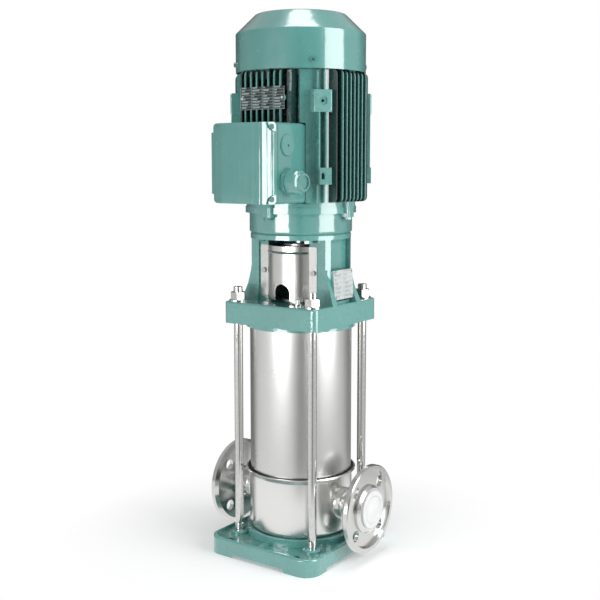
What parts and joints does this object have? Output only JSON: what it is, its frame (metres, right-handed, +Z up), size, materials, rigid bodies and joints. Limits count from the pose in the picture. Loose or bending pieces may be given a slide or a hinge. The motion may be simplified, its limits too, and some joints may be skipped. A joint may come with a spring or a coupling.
{
  "type": "vertical multistage pump",
  "caption": "Free-standing vertical multistage in-line pump: cast base, stainless sleeve held by tie rods, flanged ports, motor stool with guards, finned flange-mounted motor.",
  "frame": {"origin": "centre of the base plate's underside, which is the centre of the foundation bolt pattern", "axes": "+Z up along the shaft, +X towards the discharge port, -X towards the suction port, -Y towards the terminal box"},
  "size_m": [0.2806, 0.273, 0.8574],
  "materials": {
    "green_paint": "gloss teal-green paint over cast iron or sheet steel",
    "stainless": "satin stainless steel",
    "cast_stainless": "bright stainless steel casting, machined faces",
    "guard_steel": "rolled stainless sheet",
    "fastener_steel": "zinc-plated steel",
    "painted_screws": "screws painted over with the casing",
    "machined_steel": "machined steel",
    "laminations": "varnished steel laminations",
    "copper": "varnished copper winding",
    "carbon": "fine black seal carbon",
    "rubber": "black rubber",
    "bronze": "bearing bronze",
    "white_cap": "smooth white polyethylene",
    "black_plastic": "moulded black plastic",
    "plate_metal": "thin brushed plate",
    "dark_plate": "thin plate with a dark print"
  },
  "bodies": {
    "pump": {"base_plate": "green_paint", "bearing_outer_rings": "machined_steel", "blank_plug": "green_paint", "coupling_guards": "guard_steel", "cowl_screws": "painted_screws", "drain_plug": "fastener_steel", "fan_cowl": "green_paint", "gland_body": "green_paint", "gland_bung": "black_plastic", "gland_nut": "green_paint", "guard_screws": "fastener_steel", "head_cover": "stainless", "inlet_bowl": "stainless", "journal_ring": "bronze", "label_plate": "plate_metal", "lid_gasket": "rubber", "lid_screws": "painted_screws", "motor_bolts": "fastener_steel", "motor_flange": "green_paint", "motor_frame": "green_paint", "motor_stool": "green_paint", "neck_rings": "black_plastic", "outer_sleeve": "stainless", "plate_rivets": "plate_metal", "port_chamber": "stainless", "port_necks": "stainless", "rating_plate": "dark_plate", "rear_shield": "green_paint", "seal_cover": "stainless", "seal_seat": "carbon", "shield_screws": "painted_screws", "sleeve_seal_rings": "rubber", "stage_chambers": "stainless", "stage_straps": "stainless", "stator_core": "laminations", "stator_winding": "copper", "staybolt_nuts": "fastener_steel", "staybolt_washers": "fastener_steel", "staybolts": "fastener_steel", "terminal_block": "black_plastic", "terminal_box": "green_paint", "terminal_lid": "green_paint"},
    "rotor": {"pump_shaft": "machined_steel", "impellers": "stainless", "stage_spacers": "stainless", "journal_sleeve": "machined_steel", "shaft_nut": "fastener_steel", "seal_ring": "carbon", "seal_bellows": "rubber", "coupling_halves": "machined_steel", "coupling_bolts": "fastener_steel", "motor_shaft": "machined_steel", "rotor_core": "laminations", "cooling_fan": "black_plastic", "bearing_rolling_sets": "machined_steel"},
    "suction_flange": {"suction_flange": "cast_stainless"},
    "discharge_flange": {"discharge_flange": "cast_stainless"},
    "suction_cap": {"suction_cap": "white_cap"},
    "discharge_cap": {"discharge_cap": "white_cap"},
    "vent_screw": {"vent_screw": "fastener_steel"}
  },
  "joints": [
    {"name": "shaft_spin", "type": "hinge", "parent": "pump", "child": "rotor", "pos_m": [0, 0, 0.4645], "axis": [0, 0, 1], "continuous": true},
    {"name": "discharge_flange_turn", "type": "hinge", "parent": "pump", "child": "discharge_flange", "pos_m": [0.1257, 0, 0.084], "axis": [1, 0, 0], "continuous": true},
    {"name": "suction_flange_turn", "type": "hinge", "parent": "pump", "child": "suction_flange", "pos_m": [-0.1257, 0, 0.084], "axis": [-1, 0, 0], "continuous": true},
    {"name": "discharge_cap_pull", "type": "slide", "parent": "pump", "child": "discharge_cap", "axis": [1, 0, 0], "range_m": [0, 0.03]},
    {"name": "suction_cap_pull", "type": "slide", "parent": "pump", "child": "suction_cap", "axis": [-1, 0, 0], "range_m": [0, 0.03]},
    {"name": "vent_screw_turn", "type": "hinge", "parent": "pump", "child": "vent_screw", "pos_m": [0.038, -0.062, 0.4085], "axis": [0, 0, 1], "range_deg": [0, 360]}
  ]
}
